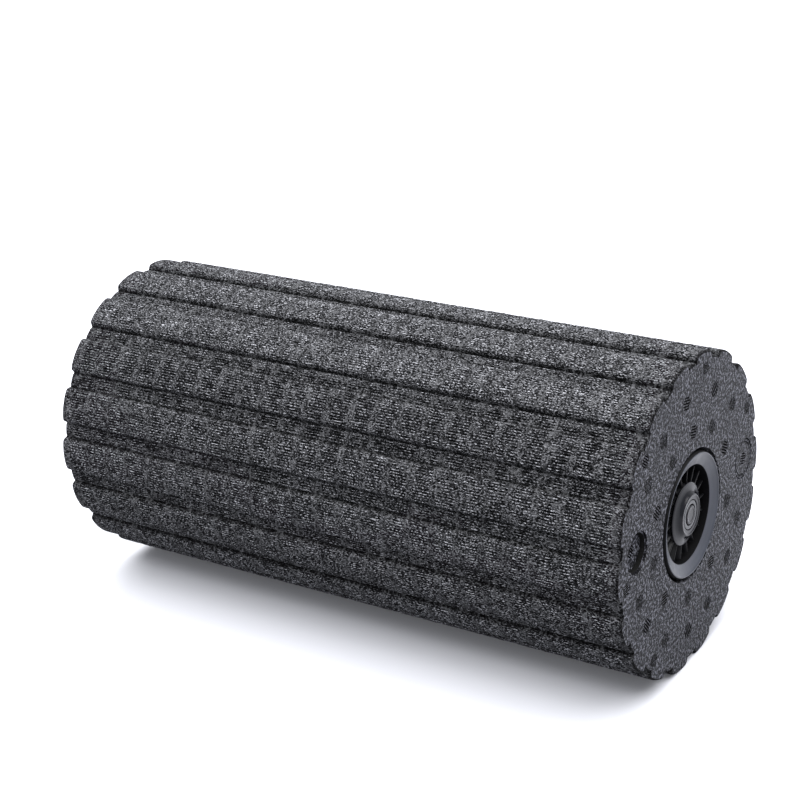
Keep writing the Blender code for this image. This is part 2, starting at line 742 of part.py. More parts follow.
def build():
    foam_body()
    tube("core_tube", TUBE_OUTER, TUBE_INNER, -TUBE_HALF, TUBE_HALF, CORE, 36)
    for name, side in (("front", 1), ("rear", -1)):
        bezel(name + "_bezel", side)
        grille(name + "_grille", side)
        bulkhead(name, side)
    front_controls()
    rear_hub()
    charge_port()
    battery_pack()
    motor()
    rotor()
    motor_mounting()
    wiring()
    for thing in PARTS.objects:
        if thing.type == "MESH":
            thing.data.shade_smooth()
            thing.data.set_sharp_from_angle(angle=math.radians(35))


build()
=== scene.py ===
import json
import math

import bmesh
import bpy
import numpy as np
from mathutils import Matrix, Vector, geometry


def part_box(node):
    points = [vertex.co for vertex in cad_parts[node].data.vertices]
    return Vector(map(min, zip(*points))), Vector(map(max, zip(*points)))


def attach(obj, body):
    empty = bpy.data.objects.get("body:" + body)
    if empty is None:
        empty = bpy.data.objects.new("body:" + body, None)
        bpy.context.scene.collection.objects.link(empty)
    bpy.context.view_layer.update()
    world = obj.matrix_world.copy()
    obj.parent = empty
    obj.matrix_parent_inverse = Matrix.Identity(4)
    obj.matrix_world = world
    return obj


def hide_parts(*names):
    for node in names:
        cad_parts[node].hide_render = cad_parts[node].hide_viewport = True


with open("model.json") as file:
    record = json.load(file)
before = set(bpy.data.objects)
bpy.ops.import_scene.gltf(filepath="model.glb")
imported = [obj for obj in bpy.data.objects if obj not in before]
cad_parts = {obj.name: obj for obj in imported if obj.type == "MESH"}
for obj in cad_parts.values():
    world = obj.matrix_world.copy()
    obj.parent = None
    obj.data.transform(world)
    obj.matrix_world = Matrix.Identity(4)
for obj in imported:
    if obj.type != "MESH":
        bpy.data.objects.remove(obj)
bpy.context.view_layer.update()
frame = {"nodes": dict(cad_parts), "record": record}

MM = 0.001
low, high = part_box("core_tube")
AXIS = (low + high) / 2
TO_ROW = Matrix.Translation(AXIS) @ Matrix.Scale(MM, 4)
TO_AXIS = TO_ROW.inverted()
RNG = np.random.default_rng(20)

# Camera, measured in a frame in which the roller is rolled a little further round
LENS = 83.87
SENSOR = 36
EYE = (448.0, -709.8, 303.7)
YAW, PITCH = 122.34, 18.27
ROLLED = -6.0

# Studio
WORLD_TONE, WORLD_STRENGTH = (0.94, 0.96, 1.0, 1.0), 1.1
FLOOR_REACH = 8  # metres
FLOOR_TONE = (0.300, 0.303, 0.323, 1)
FLOOR_GLOW, GLOW_STRENGTH = (0.93, 0.94, 1.0, 1), 0.03

# Mesh detail
WELD = 2e-4
SHARP = 32  # degrees
FILLET_STEPS = 4
FILLET_LIMIT = 0.48  # the most of a side that the fillet of one corner takes
ON_AXIS = 1e-9

# Foam's outline, and the rounding of its end edges along the roller and inwards
LENGTH = 300.0
FACE = LENGTH / 2
RIBS = 18
RIB_PITCH = 360 / RIBS
CROWN_CENTRE, CROWN_RADIUS, CROWN_HALF = 44.0, 30.0, 6.4
EDGE_LONG, EDGE_DEEP = 1.1, 0.95

# Smoothing of the outline: degrees in a step, steps each way and steps cut off again, then the blur in
# degrees and in steps
FINE_STEP, FINE_SPAN, FINE_TRIM = 0.01, 1500, 400
SMOOTHING, SMOOTHING_SPAN = 0.10, 40

# Foam's ridges: their count round the roller, their depth, the blocks that they fill along it, the length
# over which they fade at a block's ends, and how far from the roller's ends they start to wander
RIDGES = 360
RIDGE_PITCH = 360 / RIDGES
GROOVE_DEPTH = 0.55
BLOCKS = 24
BLOCK, RIDGED = 12.2, 9.6
RIDGE_FADE = 0.6
STEADY_ENDS = 3

# Angles from the middle of a rib: where its ridges end, the middle of the painted shade along its crease, and
# where the valley's painted shade and its ridges begin
CROWN_TO, CREASE_AT, VALLEY_SHADE_FROM, VALLEY_FROM = 6.75, 7.15, 7.2, 7.6

# Painted shading, which the side's material turns into tone: flat foam, the painted shade that a crease
# loses, the painted highlight that a ridge's top gains, and how deep the painted shade is in the valleys and
# on the rounded end edges
SHADING_FLAT, SHADE_LOSS, RIDGE_HIGHLIGHT = 0.55, 0.5, 0.45
VALLEY_SHADE_DEPTH, EDGE_SHADE_DEPTH = 0.25, 0.7

# Kinds of the foam's faces, in the order of its materials
SIDE, END, MARK, SHADED = 0, 1, 2, 3

# End faces: vent marks as (circle's radius, mark's radius, angles), and steps as (radius, level, kind)
VENT_CIRCLES = (
    (39.5, 3.6, (88.7, 59, 27, -14.7, -58, -96, -136, -173, 154, 121)),
    (56.0, 3.7, (142.8, 121.8, 96.4, 65.6, 40, -25.8, -45, -71.8, -94, -120, -145.8, -162.7)),
    (65.8, 3.2, (78.5, 24.7, 135.6, -176, -127)),
)
VENT_LEVEL = -0.12
VENT_SLOTS = 5
SLOT_DEPTH = 1.1
SLOT_SPREAD, SLOT_WIDTH, SLOT_RIM = 0.86, 0.28, 0.35
# Step walls taller than this take the nearly black painted shade
SHADED_WALL = 1.05
RECESS_AT, RECESS_FLOOR = (55.6, 172.1), -3.2
RECESS_STEPS = ((9.6, -0.9, END), (8.7, RECESS_FLOOR, END))
RING_AT = (56.8, 3.2)
RING_STEPS = ((9.8, -0.7, END), (9.1, -0.2, END), (8.2, -0.8, END), (7.6, -0.15, MARK))
GUN_VENT = 3.4
BORE, BORE_INNER, BORE_STEP = 30.4, 27.3, 143.3
BORE_STEPS = 96

# Caps
CAP_BACK = 132.0
# Radii beyond and within which the bezel is painted black as shade
SHADE_OUTSIDE, THROAT_INSIDE = 28.25, 22.6
VANES = 18
BLADE_INNER, BLADE_OUTER = 13.6, 21.2
BLADE_MIDDLE = (BLADE_INNER + BLADE_OUTER) / 2
BLADE_EDGE = 146.25
BLADE_THICK = 0.8
BLADE_LEAN = -14.0
HUB_SKIRT = (
    (12.1, 147.65, 1.0), (13.6, 147.3, 0.7), (14.3, 147.05, 0.25), (14.3, 146.6, 0.1),
    (12.5, 146.6, 0), (12.5, 139.5, 0.2), (11.2, 139.5, 0.1),
)
HINGE_X, HINGE_Z = -148.9, 7.4

# Plastics and metals by the name of their material slot
PLASTICS = {
    "satin_plastic": dict(dark=(0.012, 0.0135, 0.019), light=(0.020, 0.0225, 0.031), roughness=0.33,
                          grain_mm=0.3, depth_mm=0.015, gloss=0.28),
    "hub_plastic": dict(dark=(0.0012, 0.0015, 0.0025), light=(0.003, 0.0035, 0.0055), roughness=0.18,
                        grain_mm=0.3, depth_mm=0.006, gloss=0.16),
    "black_plastic": dict(dark=(0.0015, 0.0016, 0.002), light=(0.004, 0.0042, 0.005), roughness=0.38,
                          gloss=0.1),
    # Black painted shade for the bezel's flank and throat, not a part of its own
    "black_painted_shade": dict(dark=(0.0008, 0.0008, 0.001), light=(0.002, 0.002, 0.0024), roughness=0.6,
                       gloss=0.05),
    "smoked_diffuser": dict(dark=(0.008, 0.009, 0.011), light=(0.014, 0.0155, 0.019), roughness=0.25,
                            gloss=0.3),
    "core_plastic": dict(dark=(0.015, 0.015, 0.016), light=(0.03, 0.03, 0.032), roughness=0.5),
    "rubber": dict(dark=(0.005, 0.0052, 0.006), light=(0.010, 0.0103, 0.0115), roughness=0.6,
                   grain_mm=0.5, depth_mm=0.04, gloss=0.25),
    "ferrite": dict(dark=(0.03, 0.03, 0.034), light=(0.06, 0.06, 0.066), roughness=0.6,
                    grain_mm=0.6, depth_mm=0.05),
    "cell_sleeve": dict(dark=(0.03, 0.12, 0.34), light=(0.05, 0.17, 0.46), roughness=0.3,
                        grain_mm=1.5, depth_mm=0.03, coat=0.3),
    "red_insulation": dict(dark=(0.38, 0.015, 0.015), light=(0.55, 0.03, 0.03), roughness=0.4),
    "black_insulation": dict(dark=(0.014, 0.014, 0.015), light=(0.028, 0.028, 0.03), roughness=0.4),
}
METALS = {
    "steel": dict(dark=(0.42, 0.42, 0.44), light=(0.66, 0.66, 0.68), roughness=0.32),
    "nickel": dict(dark=(0.55, 0.53, 0.49), light=(0.78, 0.76, 0.7), roughness=0.28),
}


# ---------------------------------------------------------------- camera and studio

def make_camera():
    data = bpy.data.cameras.new("camera")
    data.lens = LENS
    data.sensor_width = SENSOR
    camera = bpy.data.objects.new("camera", data)
    bpy.context.scene.collection.objects.link(camera)
    yaw, pitch = math.radians(YAW), math.radians(PITCH)
    forward = Vector((math.cos(yaw) * math.cos(pitch), math.sin(yaw) * math.cos(pitch), -math.sin(pitch)))
    aim = forward.to_track_quat("-Z", "Y").to_matrix().to_4x4()
    rolled = Matrix.Rotation(math.radians(ROLLED), 4, "X")
    camera.matrix_world = Matrix.Translation(AXIS) @ rolled @ Matrix.Translation(Vector(EYE) * MM) @ aim
    bpy.context.scene.camera = camera


def soft_light(name, strength, spread, back):
    """Even light from a large soft source, tilted from overhead to the back (+Y)."""
    data = bpy.data.lights.new(name, "SUN")
    data.energy = strength
    data.angle = math.radians(spread)
    light = bpy.data.objects.new(name, data)
    light.rotation_euler = (-math.radians(back), 0, 0)
    bpy.context.scene.collection.objects.link(light)


def make_studio():
    """A pale floor under a broad overhead light, a faint front light and an even surround."""
    scene = bpy.context.scene
    scene.view_settings.view_transform = "Standard"
    world = bpy.data.worlds.new("studio")
    scene.world = world
    world.use_nodes = True
    background = world.node_tree.nodes["Background"]
    background.inputs["Color"].default_value = WORLD_TONE
    background.inputs["Strength"].default_value = WORLD_STRENGTH
    soft_light("overhead", strength=16.0, spread=100, back=4)
    soft_light("front", strength=1.6, spread=60, back=-60)

    corners = [(x * FLOOR_REACH, y * FLOOR_REACH, 0) for x, y in ((-1, -1), (1, -1), (1, 1), (-1, 1))]
    floor_mesh = bpy.data.meshes.new("floor")
    floor_mesh.from_pydata(corners, [], [(0, 1, 2, 3)])
    floor = bpy.data.objects.new("floor", floor_mesh)
    bpy.context.scene.collection.objects.link(floor)
    material, tree, shader = new_material("studio_floor", 0.6)
    shader.inputs["Base Color"].default_value = FLOOR_TONE
    shader.inputs["Specular IOR Level"].default_value = 0.0
    shader.inputs["Emission Color"].default_value = FLOOR_GLOW
    shader.inputs["Emission Strength"].default_value = GLOW_STRENGTH
    floor_mesh.materials.append(material)


# ---------------------------------------------------------------- material helpers

def new_material(name, roughness, metallic=0.0):
    material = bpy.data.materials.new(name)
    material.use_nodes = True
    shader = material.node_tree.nodes["Principled BSDF"]
    shader.inputs["Roughness"].default_value = roughness
    shader.inputs["Metallic"].default_value = metallic
    return material, material.node_tree, shader


def wire_up(tree, value, socket):
    """Gives an input its value, which is another node's output or a plain value."""
    if isinstance(value, bpy.types.NodeSocket):
        tree.links.new(value, socket)
    else:
        socket.default_value = value


def node(tree, kind, inputs=(), out=0, **settings):
    """A node with its settings and inputs, given by name or number as sockets or plain values."""
    made = tree.nodes.new("ShaderNode" + kind)
    for key, value in settings.items():
        setattr(made, key, value)
    for key, value in dict(inputs).items():
        wire_up(tree, value, made.inputs[key])
    return made.outputs[out]


def place_mm(tree, stretch=(1, 1, 1)):
    """The place on the surface in millimetres, stretched along the row's axes."""
    where = node(tree, "TexCoord", out="Object")
    return node(tree, "Mapping", {"Vector": where, "Scale": [s / MM for s in stretch]})


def noise(tree, where, scale, detail=3.0, rough=0.55):
    return node(tree, "TexNoise", {"Vector": where, "Scale": scale, "Detail": detail, "Roughness": rough})


def attribute(tree, name):
    return node(tree, "Attribute", out="Fac", attribute_name=name)


def ramp(tree, factor, *stops):
    """A colour or grey ramp from (position, value) stops."""
    made = tree.nodes.new("ShaderNodeValToRGB")
    tree.links.new(factor, made.inputs[0])
    while len(made.color_ramp.elements) < len(stops):
        made.color_ramp.elements.new(0.5)
    for element, (position, value) in zip(made.color_ramp.elements, stops):
        element.position = position
        element.color = (*(value if isinstance(value, tuple) else (value,) * 3), 1)
    return made.outputs["Color"]


def mix(tree, factor, a, b, blend="MIX"):
    made = tree.nodes.new("ShaderNodeMix")
    made.data_type = "RGBA"
    made.blend_type = blend
    for key, value in (("Factor_Float", factor), ("A_Color", a), ("B_Color", b)):
        socket = next(s for s in made.inputs if s.identifier == key)
        wire_up(tree, (*value, 1) if isinstance(value, tuple) else value, socket)
    return next(s for s in made.outputs if s.identifier == "Result_Color")


def multiply(tree, a, b):
    """The product of two colours."""
    return mix(tree, 1.0, a, b, "MULTIPLY")


def maths(tree, operation, a, b):
    return node(tree, "Math", {0: a, 1: b}, operation=operation)


def bump(tree, shader, height, distance_mm, strength=1.0):
    normal = node(tree, "Bump", {"Height": height, "Distance": distance_mm * MM, "Strength": strength})
    tree.links.new(normal, shader.inputs["Normal"])


# ---------------------------------------------------------------- materials

def foam_side_material():
    """Bead foam with a moulded skin: painted shade in the grooves, creases and valleys, painted highlight on
    the ridges, worn seams, bead outlines, fine speckle.
    """
    material, tree, shader = new_material("foam_side", 0.62)
    where = place_mm(tree)
    speckle = noise(tree, place_mm(tree, (0.5, 1, 1)), 2.2, 1.0, 0.5)
    tone = ramp(
        tree, speckle, (0.34, (0.0004, 0.0004, 0.0005)), (0.45, (0.0032, 0.0033, 0.0037)),
        (0.55, (0.013, 0.0132, 0.0147)), (0.65, (0.098, 0.0995, 0.107)),
    )
    # Painted shade and painted highlight, read from the side's painted shading attribute
    painted_shading = ramp(tree, attribute(tree, "painted_shading"), (0.05, 0.03), (0.4, 0.5), (0.65, 0.95), (1.0, 2.2))
    patches = ramp(tree, noise(tree, where, 0.12, 3.0, 0.55), (0.35, 0.88), (0.65, 1.1))
    tone = multiply(tree, multiply(tree, tone, painted_shading), patches)

    beads = node(tree, "TexVoronoi", {"Vector": where, "Scale": 0.36}, feature="DISTANCE_TO_EDGE")
    outlines = ramp(tree, beads, (0.02, 1.0), (0.11, 0.0))
    chosen = ramp(tree, noise(tree, where, 0.22, 2.0), (0.50, 0.0), (0.60, 1.0))
    worn = ramp(tree, noise(tree, where, 0.28, 3.0, 0.6), (0.50, 0.0), (0.62, 1.0))
    outlines = maths(tree, "MULTIPLY", maths(tree, "MULTIPLY", outlines, chosen), 0.4)
    seams = maths(tree, "MULTIPLY", maths(tree, "MULTIPLY", attribute(tree, "seam"), worn), 0.4)
    pale = maths(tree, "MAXIMUM", outlines, seams)
    tone = mix(tree, pale, tone, (0.085, 0.0865, 0.0915))
    tree.links.new(tone, shader.inputs["Base Color"])
    tree.links.new(ramp(tree, speckle, (0.35, 0.8), (0.65, 0.55)), shader.inputs["Roughness"])
    shader.inputs["Specular IOR Level"].default_value = 0.02
    bump(tree, shader, speckle, 0.6)
    return material


def grained_foam(name, dark, light, depth_mm):
    """Moulded foam skin with a fine mottled grain, its hollows painted darker as shade and its tops painted
    lighter as highlight.
    """
    material, tree, shader = new_material(name, 0.5)
    where = place_mm(tree)
    height = noise(tree, where, 0.7, 2.0, 0.72)
    between = tuple((a + b) / 5 for a, b in zip(dark, light))
    # Tone follows the bump's height: painted shade in the grain's hollows, painted highlight on its tops
    tone = ramp(tree, height, (0.455, dark), (0.525, between), (0.60, light))
    patches = ramp(tree, noise(tree, where, 0.1, 3.0), (0.35, 0.8), (0.65, 1.2))
    tree.links.new(multiply(tree, tone, patches), shader.inputs["Base Color"])
    shader.inputs["Specular IOR Level"].default_value = 0.06
    bump(tree, shader, height, depth_mm)
    return material


def foam_end_material():
    """The moulded end, a little bluer than the side."""
    return grained_foam("foam_end", (0.0030, 0.0030, 0.0042), (0.098, 0.100, 0.117), 2.6)


def foam_mark_material():
    """The darker, smoother patches left by the steam vents and fill guns."""
    return grained_foam("foam_mark", (0.002, 0.002, 0.0026), (0.062, 0.063, 0.074), 1.4)


def foam_shade_material():
    """Nearly black painted shade on the foam in a vent's slots and down the wall of the recess."""
    material, tree, shader = new_material("foam_shade", 0.8)
    tone = ramp(tree, noise(tree, place_mm(tree), 2.0), (0.3, 0.0015), (0.7, 0.006))
    tree.links.new(tone, shader.inputs["Base Color"])
    shader.inputs["Specular IOR Level"].default_value = 0.05
    return material


def plastic_material(name, dark, light, roughness, grain_mm=0.4, depth_mm=0.02, coat=0.0, gloss=0.5):
    """Moulded plastic with faint tone drift, fine spark grain and handling marks in its gloss."""
    material, tree, shader = new_material(name, roughness)
    where = place_mm(tree)
    drift = noise(tree, where, 0.05, 3.0)
    grain = noise(tree, where, 1 / grain_mm, 2.0)
    tone = ramp(tree, mix(tree, 0.35, drift, grain), (0.35, dark), (0.65, light))
    tree.links.new(tone, shader.inputs["Base Color"])
    marks = noise(tree, where, 0.3, 5.0, 0.65)
    rough = ramp(tree, marks, (0.3, roughness - 0.05), (0.7, roughness + 0.07))
    tree.links.new(rough, shader.inputs["Roughness"])
    shader.inputs["Coat Weight"].default_value = coat
    shader.inputs["Specular IOR Level"].default_value = gloss
    bump(tree, shader, grain, depth_mm, 0.5)
    return material


def metal_material(name, dark, light, roughness):
    """Turned or drawn metal with fine lines across the axis and a little staining."""
    material, tree, shader = new_material(name, roughness, 1.0)
    lines = noise(tree, place_mm(tree, (0.08, 3, 3)), 2.0, 3.0)
    stain = noise(tree, place_mm(tree), 0.12, 4.0, 0.6)
    tree.links.new(ramp(tree, stain, (0.3, dark), (0.7, light)), shader.inputs["Base Color"])
    rough = ramp(tree, lines, (0.3, roughness - 0.08), (0.7, roughness + 0.1))
    tree.links.new(rough, shader.inputs["Roughness"])
    bump(tree, shader, lines, 0.01, 0.5)
    return material


def winding_material():
    """Enamelled copper wire in tight turns."""
    material, tree, shader = new_material("winding", 0.35, 1.0)
    spacing = {"Vector": place_mm(tree), "Scale": 0.55, "Distortion": 1.5, "Detail": 1.0}
    turns = node(tree, "TexWave", spacing, out="Fac", bands_direction="DIAGONAL")
    tone = ramp(tree, turns, (0.1, (0.22, 0.08, 0.03)), (0.8, (0.72, 0.34, 0.16)))
    tree.links.new(tone, shader.inputs["Base Color"])
    bump(tree, shader, turns, 0.2, 0.8)
    return material


def board_material():
    """Green solder mask over tracks, with bare pads."""
    material, tree, shader = new_material("circuit_board", 0.35)
    where = place_mm(tree)
    tracks = node(tree, "TexBrick", {"Vector": where, "Scale": 0.5, "Mortar Size": 0.06}, out="Fac")
    pads = ramp(tree, node(tree, "TexVoronoi", {"Vector": where, "Scale": 0.35}), (0.16, 1.0), (0.18, 0.0))
    tone = mix(tree, tracks, (0.012, 0.10, 0.045), (0.02, 0.17, 0.075))
    tree.links.new(mix(tree, pads, tone, (0.75, 0.70, 0.55)), shader.inputs["Base Color"])
    bump(tree, shader, tracks, 0.04, 0.6)
    return material


def make_materials():
    """Every material by the name of its slot, and the foam's other skins by their own names."""
    made = {name: plastic_material(name, **look) for name, look in PLASTICS.items()}
    made.update({name: metal_material(name, **look) for name, look in METALS.items()})
    made["copper"] = winding_material()
    made["circuit_board"] = board_material()
    made["foam"] = foam_side_material()
    made["foam_end"] = foam_end_material()
    made["foam_mark"] = foam_mark_material()
    made["foam_shade"] = foam_shade_material()
    return made


# ---------------------------------------------------------------- mesh helpers

def polar(radius, degrees, y=0.0, z=0.0):
    """The (y, z) of a point at a radius and an angle round a centre."""
    angle = math.radians(degrees)
    return (y + radius * math.cos(angle), z + radius * math.sin(angle))


def circle(radius, steps, y=0.0, z=0.0):
    return [polar(radius, 360 * k / steps, y, z) for k in range(steps)]


def finish_mesh(name, shape, body, materials, replaced, sharp=SHARP):
    """Turns a bmesh in millimetres into a piece that rides on a body and stands for CAD nodes."""
    bmesh.ops.remove_doubles(shape, verts=shape.verts, dist=WELD)
    bmesh.ops.recalc_face_normals(shape, faces=shape.faces)
    mesh = bpy.data.meshes.new(name)
    shape.to_mesh(mesh)
    shape.free()
    mesh.transform(TO_ROW)
    mesh.shade_smooth()
    mesh.set_sharp_from_angle(angle=math.radians(sharp))
    for material in materials:
        mesh.materials.append(material)
    piece = bpy.data.objects.new(name, mesh)
    bpy.context.scene.collection.objects.link(piece)
    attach(piece, body)
    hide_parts(*replaced)
    return piece


def filleted(corners):
    """Rounds the corners of a closed outline of (radius, x, fillet) points, each on a quadratic curve."""
    points = []
    count = len(corners)
    for i, (r, x, fillet) in enumerate(corners):
        here = Vector((r, x))
        if not fillet:
            points.append((r, x))
            continue
        before, after = Vector(corners[i - 1][:2]), Vector(corners[(i + 1) % count][:2])
        start = here + (before - here).normalized() * min(fillet, (before - here).length * FILLET_LIMIT)
        end = here + (after - here).normalized() * min(fillet, (after - here).length * FILLET_LIMIT)
        for k in range(FILLET_STEPS + 1):
            t = k / FILLET_STEPS
            spot = start * (1 - t) ** 2 + here * 2 * t * (1 - t) + end * t * t
            points.append((spot.x, spot.y))
    return points


def add_turned(shape, outline, steps):
    """Adds a turned solid to a bmesh. Its outline is (radius, x) points, closed, or from axis to axis."""
    rings = []
    for r, x in outline:
        if r < ON_AXIS:
            rings.append([shape.verts.new((x, 0, 0))] * steps)
        else:
            rings.append([shape.verts.new((x, y, z)) for y, z in circle(r, steps)])
    for a, b in zip(rings, rings[1:] + rings[:1]):
        for k in range(steps):
            j = (k + 1) % steps
            corners = list(dict.fromkeys((a[k], a[j], b[j], b[k])))
            if len(corners) > 2:
                shape.faces.new(corners)


def mirror_x(outline, side):
    return [(r, side * x) for r, x in outline]


def turned(name, corners, body, material, replaced, steps=128, side=1):
    """A turned piece of the +X end, or of the -X end where side is -1."""
    shape = bmesh.new()
    add_turned(shape, mirror_x(filleted(corners), side), steps)
    return finish_mesh(name, shape, body, [material], replaced)


def add_block(shape, size, centre, soft=0.0):
    """Adds a block to a bmesh, with its edges rounded by soft."""
    made = bmesh.ops.create_cube(shape, size=1.0)["verts"]
    bmesh.ops.scale(shape, vec=size, verts=made)
    bmesh.ops.translate(shape, vec=centre, verts=made)
    if soft:
        edges = list({e for v in made for e in v.link_edges})
        bmesh.ops.bevel(shape, geom=edges, offset=soft, segments=3, affect="EDGES", profile=0.5)


def add_cross_rod(shape, radius, length, centre):
    """Adds a rod that lies across the roller, along Y."""
    ends = {"radius1": radius, "radius2": radius}
    made = bmesh.ops.create_cone(shape, cap_ends=True, segments=32, depth=length, **ends)
    turn = Matrix.Rotation(math.pi / 2, 4, "X")
    bmesh.ops.transform(shape, matrix=Matrix.Translation(centre) @ turn, verts=made["verts"])


def cut_away(piece, cutter_shape):
    """Takes a shape, in millimetres, out of a finished piece."""
    mesh = bpy.data.meshes.new("cutter")
    cutter_shape.to_mesh(mesh)
    cutter_shape.free()
    mesh.transform(TO_ROW)
    cutter = bpy.data.objects.new("cutter", mesh)
    bpy.context.scene.collection.objects.link(cutter)
    modifier = piece.modifiers.new("cut", "BOOLEAN")
    modifier.operation = "DIFFERENCE"
    modifier.solver = "EXACT"
    modifier.object = cutter
    bpy.context.view_layer.update()
    cut = bpy.data.meshes.new_from_object(piece.evaluated_get(bpy.context.evaluated_depsgraph_get()))
    piece.modifiers.clear()
    piece.data = cut
    cut.shade_smooth()
    cut.set_sharp_from_angle(angle=math.radians(SHARP))
    bpy.data.objects.remove(cutter)


# ---------------------------------------------------------------- foam

def rib_table():
    """Angles across one rib and the valley halves beside it, and the radius at each, lightly smoothed."""
    crown = [(u, math.sqrt(CROWN_RADIUS**2 - u * u) + CROWN_CENTRE) for u in np.linspace(0, CROWN_HALF, 14)]
    flank = [(7.4, 72.95), (8.0, 72.55), (8.35, 71.95), (8.55, 71.2), (8.7, 70.7)]
    bend = [(math.degrees(math.atan2(u, v)), math.hypot(u, v)) for u, v in crown + flank]
    bend += [(7.1, 70.5), (7.35, 70.55), (7.7, 70.85), (8.3, 71.0), (RIB_PITCH / 2, 71.05)]
    angles, radii = np.array(bend).T
    fine = np.arange(-FINE_SPAN, FINE_SPAN) * FINE_STEP
    wrapped = np.abs((fine + RIB_PITCH / 2) % RIB_PITCH - RIB_PITCH / 2)
    kernel = np.exp(-0.5 * (np.arange(-SMOOTHING_SPAN, SMOOTHING_SPAN + 1) * FINE_STEP / SMOOTHING) ** 2)
    smooth = np.convolve(np.interp(wrapped, angles, radii), kernel / kernel.sum(), "same")
    return fine[FINE_TRIM:-FINE_TRIM], smooth[FINE_TRIM:-FINE_TRIM]


def rib_angles():
    """Angles across one rib and valley, closer together on the flanks."""
    crown = list(np.arange(0, 5.51, 0.25))
    flank = [5.75, 6.0, 6.2, 6.4, 6.58, 6.74, 6.88, 7.0, 7.12, 7.25, 7.4, 7.55, 7.75]
    valley = list(np.arange(8.0, 9.76, 0.25))
    half = crown + flank + valley
    return np.array([-a for a in half[:0:-1]] + half + [RIB_PITCH / 2])


def end_rows():
    """(x, how far in) rows of the rounded edge at the roller's -X end."""
    rows = []
    for turn in (90, 67, 45, 22, 0):
        angle = math.radians(turn)
        rows.append((-FACE + EDGE_LONG * (1 - math.sin(angle)), EDGE_DEEP * (1 - math.cos(angle))))
    return rows


def side_rows():
    """(x, inset, ridge depth share, seam) rows of the foam's side from end to end."""
    rows = [(x, inset, 0.0, 0.0) for x, inset in end_rows()]
    start = -(BLOCKS * BLOCK - (BLOCK - RIDGED)) / 2
    for k in range(BLOCKS):
        here = start + k * BLOCK
        rows += [(here + 0.1, 0, 0.0, 0.6), (here + RIDGE_FADE, 0, 1.0, 0.0)]
        rows += [(here + along, 0, 1.0, 0.0) for along in (2.7, 4.8, 6.9)]
        rows += [(here + RIDGED - RIDGE_FADE, 0, 1.0, 0.0), (here + RIDGED, 0, 0.0, 1.0)]
        if k < BLOCKS - 1:
            rows.append((here + (RIDGED + BLOCK) / 2, 0, 0.0, 0.0))
    rows += [(-x, inset, 0.0, 0.0) for x, inset in end_rows()[::-1]]
    return np.array(rows)


def ripple(amount):
    """A small random shift for each ridge round the roller, close to its neighbours'."""
    reach = 3
    loose = np.convolve(np.tile(RNG.normal(0, 1, RIDGES), 3), np.ones(reach) / reach, "same")
    return loose[RIDGES:2 * RIDGES] * amount


def foam_side(angles, base, rows):
    """Vertices, painted shading and seam values of the side, row by row: the ribs, less the grooves between
    ridges. The painted shading is painted shade in the creases, valleys, groove bottoms and rounded end
    edges, and painted highlight on the ridge tops.
    """
    theta = np.radians(angles)
    within = np.abs((angles + RIB_PITCH / 2) % RIB_PITCH - RIB_PITCH / 2)
    grooved = np.clip((CROWN_TO - within) / 0.3, 0, 1) + np.clip((within - VALLEY_FROM) / 0.3, 0, 1)
    groove = (0.5 - 0.5 * np.cos(2 * np.pi * angles / RIDGE_PITCH)) * grooved
    crease = np.clip(1 - np.abs(within - CREASE_AT) / 0.6, 0, 1)
    valley_shade = VALLEY_SHADE_DEPTH * np.clip((within - VALLEY_SHADE_FROM) / 0.4, 0, 1)
    rib = np.round(angles / RIB_PITCH).astype(int) % RIBS
    ridge = np.round(angles / RIDGE_PITCH).astype(int) % RIDGES
    outline = np.stack([base * np.cos(theta), base * np.sin(theta)], 1)
    tangent = np.roll(outline, -1, 0) - np.roll(outline, 1, 0)
    tangent /= np.linalg.norm(tangent, axis=1)[:, None]
    normal = np.stack([tangent[:, 1], -tangent[:, 0]], 1)
    verts, painted_shading, seams = [], [], []
    depth_by_rib = RNG.uniform(0.7, 1.15, RIBS)
    for x, inset, share, seam in rows:
        inner = float(abs(x) < FACE - STEADY_ENDS)
        depth = share * depth_by_rib[rib] * RNG.uniform(0.45, 1.25, RIDGES)[ridge]
        wobble = ripple(0.45)[ridge] * inner
        settle = ripple(0.10)[ridge] * inner
        ring = outline - normal * (inset + groove * depth * GROOVE_DEPTH + settle)[:, None]
        verts.append(np.column_stack([x + wobble, ring]))
        # Painted shade in the creases, the valleys and the rounded end edges; painted highlight on the ridge
        # tops and painted shade in the groove bottoms
        painted_dark = np.maximum(np.maximum(crease, valley_shade), EDGE_SHADE_DEPTH * (inset > 0))
        painted_shading.append(SHADING_FLAT - SHADE_LOSS * painted_dark + share * grooved * (RIDGE_HIGHLIGHT - groove * depth))
        seams.append(np.full(len(angles), seam))
    return np.concatenate(verts), np.concatenate(painted_shading), np.concatenate(seams)


def slots_in(y, z, radius, turn):
    """Outlines of parallel round-ended slots that fill a round vent mark."""
    found = []
    pitch = 2 * radius * SLOT_SPREAD / VENT_SLOTS
    half = pitch * SLOT_WIDTH
    cos, sin = math.cos(math.radians(turn)), math.sin(math.radians(turn))
    for k in range(VENT_SLOTS):
        across = (k - (VENT_SLOTS - 1) / 2) * pitch
        reach = math.sqrt((radius - SLOT_RIM) ** 2 - across**2) - half
        outline = [polar(half, a, reach, across) for a in (-90, -30, 30, 90)]
        outline += [polar(half, a, -reach, across) for a in (90, 150, 210, 270)]
        found.append([(y + a * cos - b * sin, z + a * sin + b * cos) for a, b in outline])
    return found


